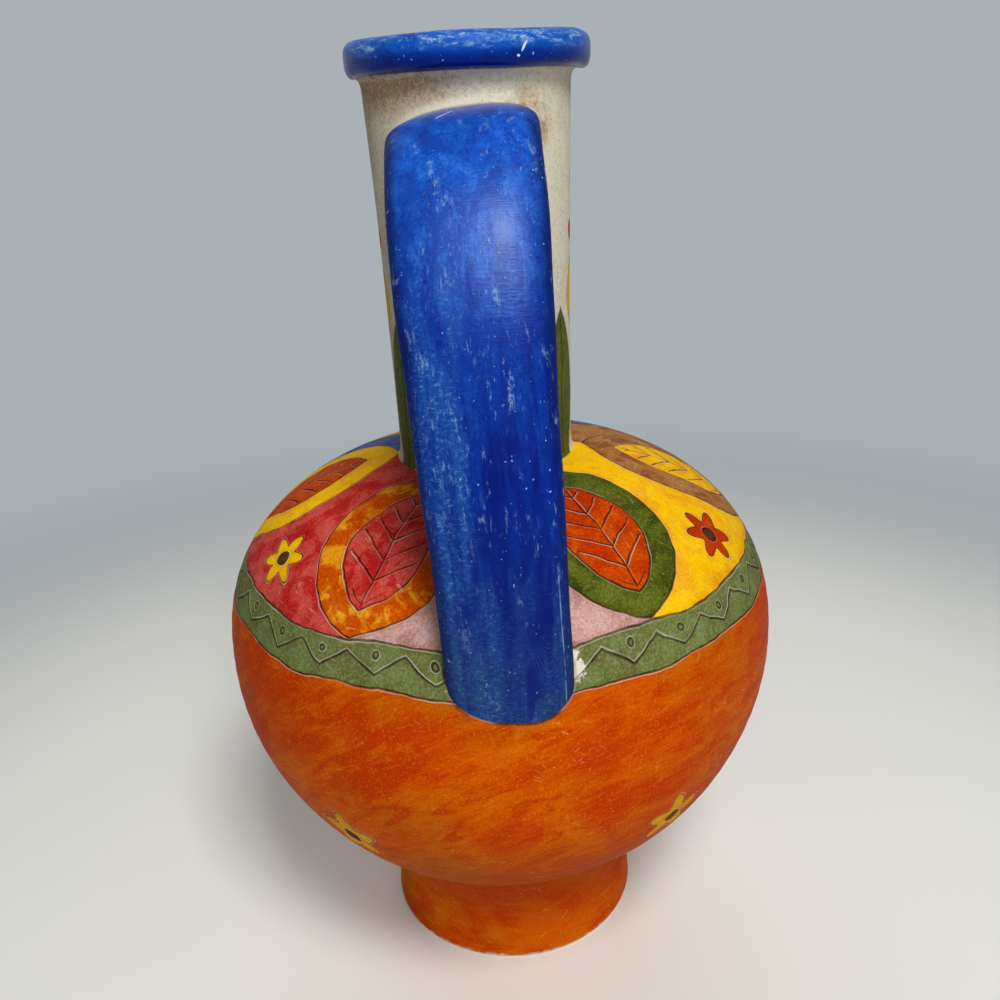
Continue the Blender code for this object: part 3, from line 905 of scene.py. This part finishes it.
# clay about the strap's ends, in metres
joint = {
    "still": 0.004,    # no wobble as near as this
    "free": 0.02,    # full wobble this much further out
    "reach": 0.06,    # nothing is looked for beyond
    "none": 0.1,    # the gap that is written there
    "finer": (0.012, 0.006),    # the mesh is halved within each of these
    "smear": 0.02,
    "outside": (0, -0.1, 0.2),    # the strap's side of the pot
}


def calm(co, tree):
    # 0 at a joint line and 1 well away from it
    return ease((tree.find(co)[2] - joint["still"]) / joint["free"])


def markJoint(bm, tree, fillet, width):
    # clay smeared up against the strap's end, and how near each point is to it in millimetres
    layer = bm.verts.layers.float.new("gap")
    middle = tree.find(joint["outside"])[0]

    def gapTo(vert):
        return tree.find(vert.co)[2] if (vert.co - middle).length < joint["reach"] else joint["none"]

    for reach in joint["finer"]:
        near = {v for v in bm.verts if gapTo(v) < reach}
        edges = [e for e in bm.edges if e.verts[0] in near and e.verts[1] in near]
        bmesh.ops.subdivide_edges(bm, edges=edges, cuts=1, use_grid_fill=True)
    bm.normal_update()
    for vert in bm.verts:
        gap = gapTo(vert)
        if gap < joint["smear"] and vert.normal.x * vert.co.x + vert.normal.y * vert.co.y > 0:
            vert.co += vert.normal * fillet * math.exp(-(gap / width) ** 2)
        vert[layer] = min(gapTo(vert), joint["none"]) * perMetre


def makeGlobe():
    hole = neck["baseRadius"] - neck["wall"]
    dome, bowl = globe["domeFullness"], globe["bowlFullness"]
    inner = bellyRadius - globe["wall"]
    domeInner = globe["domeRise"] - globe["wall"]
    half = globe["outerSteps"] // 2
    points = globeArc(bellyRadius, globe["domeRise"], dome, math.acos((hole / bellyRadius) ** (dome / 2)), 0, half)
    points += globeArc(bellyRadius, -bowlDepth, bowl, 0, math.pi / 2, half)[1:]
    half = globe["innerSteps"] // 2
    points += globeArc(inner, globe["wall"] - bowlDepth, bowl, math.pi / 2, 0, half)
    points += globeArc(inner, domeInner, dome, 0, math.acos((hole / inner) ** (dome / 2)), half)[1:]
    bm = turnOutline(points, globe["turns"])
    for vert in bm.verts:
        r = math.hypot(vert.co.x, vert.co.y)
        if r < 1e-6:
            continue
        push = stray(vert.co, globe["wobbleSize"]).x * globe["wobble"]
        drift = stray(vert.co, globe["driftSize"]).y * globe["rippleDrift"]
        push += math.sin(vert.co.z / globe["ripplePitch"] * 2 * math.pi + drift) * globe["ripple"]
        push *= calm(vert.co, lowerJoint)
        vert.co.x += vert.co.x / r * push
        vert.co.y += vert.co.y / r * push
    markJoint(bm, lowerJoint, globe["fillet"], globe["filletWidth"])
    centre = Vector((0, 0, seam))
    for face in bm.faces:
        face.material_index = int(face.normal.dot(face.calc_center_median() - centre) < 0)
    finishPiece(bm, "belly", [bellyPaint, clayPaint],
                ["body_bowl", "body_dome", "handle_lower_coil"])


foot = {
    "wall": 0.007, "waist": 0.0008,
    "edge": 0.0014, "edgeSteps": 5,    # rounding of the edges on the table
    "coil": 0.0036, "coilFall": 0.0022,    # clay smeared out under the bowl
    "lap": 0.0035, "lapMiddle": 0.001, "lapBore": 0.0015,    # how far the top runs up into the bowl
    "boreStep": 0.012, "rows": 48, "turns": 224,
    "wobble": 0.0004, "wobbleSize": 0.03,
}


def makeFoot():
    r = footHigh.x
    bore = r - foot["wall"]
    edge, steps = foot["edge"], foot["edgeSteps"]
    top = bowlHeight(r)
    high = top + foot["lap"]
    points = []
    for i in range(foot["rows"] + 1):
        t = i / foot["rows"]
        z = blend(edge, high, t)
        flare = foot["coil"] * math.exp(-(high - z) / foot["coilFall"])
        points.append((r - foot["waist"] * math.sin(math.pi * t) + flare, z))
    points.append((r - foot["wall"] * 0.5, top + foot["lapMiddle"]))
    points += [(bore, bowlHeight(bore) + foot["lapBore"]), (bore, foot["boreStep"]), (bore, edge)]
    for i in range(1, steps + 1):
        a = math.pi + math.pi / 2 * i / steps
        points.append((bore + edge * (1 + math.cos(a)), edge * (1 + math.sin(a))))
    for i in range(steps):
        a = math.pi * 1.5 + math.pi / 2 * i / steps
        points.append((r - edge * (1 - math.cos(a)), edge * (1 + math.sin(a))))
    bm = turnOutline(points, foot["turns"])
    for vert in bm.verts:
        s = stray(vert.co, foot["wobbleSize"])
        vert.co.x += s.x * foot["wobble"]
        vert.co.y += s.y * foot["wobble"]
    for face in bm.faces:
        face.material_index = int(inward(face) or face.normal.z < -0.9)    # bare inside and underneath
    finishPiece(bm, "foot", [footPaint, clayPaint], ["foot_ring", "foot_coil"])


def makeNeck():
    points = []
    base = neckBase - neck["sunk"]
    for i in range(neck["rows"] + 1):
        z = blend(neckHigh.z, base, i / neck["rows"])
        fillet = neck["coil"] * math.exp(-(z - base) / neck["coilFall"])
        flare = neck["lip"] * math.exp(-max(rimLow.z - z, 0) / neck["lipFall"])
        points.append((neckRadius(z) + fillet + flare * (z < rimLow.z + neck["lipLap"]), z))
    for i in range(neck["rowsInside"] + 1):
        z = blend(base - neck["sunkInside"], neckHigh.z, i / neck["rowsInside"])
        points.append((neckRadius(z) - neck["wall"], z))
    bm = turnOutline(points, neck["turns"])
    for vert in bm.verts:
        s = stray(vert.co, neck["wobbleSize"]) * calm(vert.co, upperJoint)
        vert.co.x += s.x * neck["wobble"] + neck["offset"]
        vert.co.y += s.y * neck["wobble"]
    markJoint(bm, upperJoint, neck["fillet"], neck["filletWidth"])
    for face in bm.faces:
        face.material_index = int(inward(face, neck["offset"]))
    finishPiece(bm, "neck", [neckPaint, clayPaint],
                ["neck_tube", "neck_coil", "handle_upper_coil"])


def makeRim():
    outer = rimHigh.x
    bore = neck["topRadius"] - neck["wall"]
    skirt = neck["topRadius"] - rim["skirtInset"]
    crown = (outer + bore) / 2
    low, top = rimLow.z, rimHigh.z
    middle = (low + top) / 2
    seat = rim["seat"]
    points = []

    def quarter(centre, across, up, start, square):
        for i in range(rim["steps"]):
            a = math.radians(start + 90 * i / rim["steps"])
            r = centre + across * swell(math.cos(a), square)
            points.append((r, middle + up * swell(math.sin(a), square)))

    quarter(skirt, outer - skirt, middle - low, 270, rim["squareBelow"])
    quarter(crown, outer - crown, top - middle, 0, rim["squareAbove"])
    quarter(crown, crown - bore, top - middle, 90, rim["squareInside"])
    points += [(bore, middle), (bore + seat, middle - seat), (skirt - seat, middle - seat)]
    bm = turnOutline(points, rim["turns"])
    for vert in bm.verts:
        s = stray(vert.co, rim["wobbleSize"])
        fine = stray(vert.co, rim["fineSize"]) * rim["fineShare"]
        sideways = ease((abs(vert.co.x) / outer - rim["sagStart"]) / rim["sagRun"])
        vert.co.z -= rim["sag"] * sideways * max(0.0, (middle - vert.co.z) / (middle - low))
        vert.co.x += (s.x + fine.x) * rim["wobble"] + neck["offset"] * 0.5
        vert.co.y += (s.y + fine.y) * rim["wobble"]
        vert.co.z += (s.z + fine.z - rim["settle"]) * rim["wobble"]
    finishPiece(bm, "rim", [rimPaint], ["rim_roll"])


def makeStrap():
    bm = bmesh.new()
    layer = bm.verts.layers.float_vector.new("strapMap")
    count, rows = strap["sides"], strap["stations"]
    ring = bmesh.ops.create_circle(bm, cap_ends=False, segments=count, radius=1.0)["verts"]
    sides = [2 * math.pi * i / count for i in range(count)]
    tops = [jointShare(side, 0.0, strap["sink"]) for side in sides]
    feet = [jointShare(side, 1.0, strap["sink"]) for side in sides]

    def lay(verts, t):
        for vert, side, top, end in zip(verts, sides, tops, feet):
            share = blend(top, end, t)
            co = strapPoint(share, side)
            s = stray(co, strap["wobbleSize"]) * min(1.0, strap["stillEnds"] * t * (1 - t))
            vert.co = co + s * strap["wobble"]
            across = (co.x - strapLean(co.z)) * perMetre
            vert[layer] = (across, share * strap["mapLength"] * perMetre, math.sin(side) * strap["mapLift"])

    def ringEdges(loop):
        return [bm.edges.get((loop[i], loop[(i + 1) % count])) for i in range(count)]

    lay(ring, 0)
    first = ring
    for row in range(1, rows + 1):
        made = bmesh.ops.extrude_edge_only(bm, edges=ringEdges(ring))["geom"]
        fresh = {v for v in made if isinstance(v, bmesh.types.BMVert)}
        after = []
        for vert in ring:
            after.append(next(e.other_vert(vert) for e in vert.link_edges if e.other_vert(vert) in fresh))
        lay(after, row / rows)
        ring = after
    for loop in (first, ring):
        bmesh.ops.contextual_create(bm, geom=ringEdges(loop))
    bmesh.ops.recalc_face_normals(bm, faces=bm.faces[:])
    finishPiece(bm, "strap", [strapPaint], ["handle_strap"])


makeGlobe()
makeFoot()
makeNeck()
makeRim()
makeStrap()

# floor, pale under the pot and greyer away from it
stage = {
    "floorSize": 6.0, "near": ink("ecece6"), "away": ink("9a9ea0"), "greying": (0.20, 0.60),
    "fading": (0.26, 0.62),  # where the floor goes over into the backdrop
    "backdrop": ink("a9b1b6"), "ambient": ink("40464c"),
}
floorPaint, shader, w = newMaterial("paleFloor")
fx, fy = w.node("TexCoord", out="Object").parts()[:2]
distance = fx.hypot(fy)
w.mixed(stage["near"], stage["away"], distance.step(*stage["greying"])).into(shader, "Base Color")
shader.inputs["Roughness"].default_value = 0.9
haze = w.node("Emission", None, {"Color": stage["backdrop"], "Strength": 1.0})
gloss = Wire(w.tree, shader.outputs[0])
faded = distance.step(*stage["fading"]) * backdropSeen(w)
shade = w.node("MixShader", None, {0: faded, 1: gloss, 2: haze})
shade.into(w.tree.nodes["Material Output"], "Surface")
bm = bmesh.new()
bmesh.ops.create_grid(bm, x_segments=1, y_segments=1, size=stage["floorSize"])
floor = meshObject("floor", bm, [floorPaint])

# soft studio light
lamps = {
    "key": {"place": (0.23, -0.70, 1.15), "size": 0.35, "power": 11.2,
            "colour": (1.0, 0.99, 0.97), "mirrored": True},
    "fill": {"place": (0.16, -1.15, 0.72), "size": 1.0, "power": 6.2,
             "colour": (0.99, 1.0, 1.0), "mirrored": False},
    "behind": {"place": (-0.20, 1.25, 0.80), "size": 1.2, "power": 8.0,
               "colour": (0.99, 1.0, 1.0), "mirrored": False},
}
target = Vector((0, 0, 0.15))    # the middle of the pot
for name, lamp in lamps.items():
    data = bpy.data.lights.new(name, "AREA")
    data.energy = lamp["power"]
    data.size = lamp["size"]
    data.color = lamp["colour"]
    lampObject = newObject(name, data)
    lampObject.location = lamp["place"]
    lampObject.rotation_euler = (target - Vector(lamp["place"])).to_track_quat("-Z", "Y").to_euler()
    lampObject.visible_glossy = lamp["mirrored"]    # only the key leaves a highlight

world = bpy.data.worlds.new("studio")
world.use_nodes = True
bpy.context.scene.world = world
sky = Wire(world.node_tree)
background = world.node_tree.nodes["Background"]
ambient = sky.mixed(stage["ambient"], stage["backdrop"], backdropSeen(sky))
ambient.into(background, "Color")
background.inputs["Strength"].default_value = 1.0

# camera as it stood for the photograph
view = {"distance": 0.3128, "height": 0.28365, "pitch": 22.02, "roll": 3.01, "yaw": 0.375,
        "lens": 36.0, "sensor": 36.0}
data = bpy.data.cameras.new("camera")
data.sensor_width = view["sensor"]
data.lens = view["lens"]
camera = newObject("camera", data)
pitch, roll, yaw = (math.radians(view[key]) for key in ("pitch", "roll", "yaw"))
forward = Vector((math.sin(yaw) * math.cos(pitch), math.cos(yaw) * math.cos(pitch), -math.sin(pitch)))
right = Vector((math.cos(yaw), -math.sin(yaw), 0))
up = right.cross(forward)
across = right * math.cos(roll) - up * math.sin(roll)
upward = up * math.cos(roll) + right * math.sin(roll)
camera.matrix_world = Matrix.Translation((0, -view["distance"], view["height"])) @ Matrix(
    (across, upward, -forward)).transposed().to_4x4()
bpy.context.scene.camera = camera
bpy.context.scene.view_settings.view_transform = "Standard"
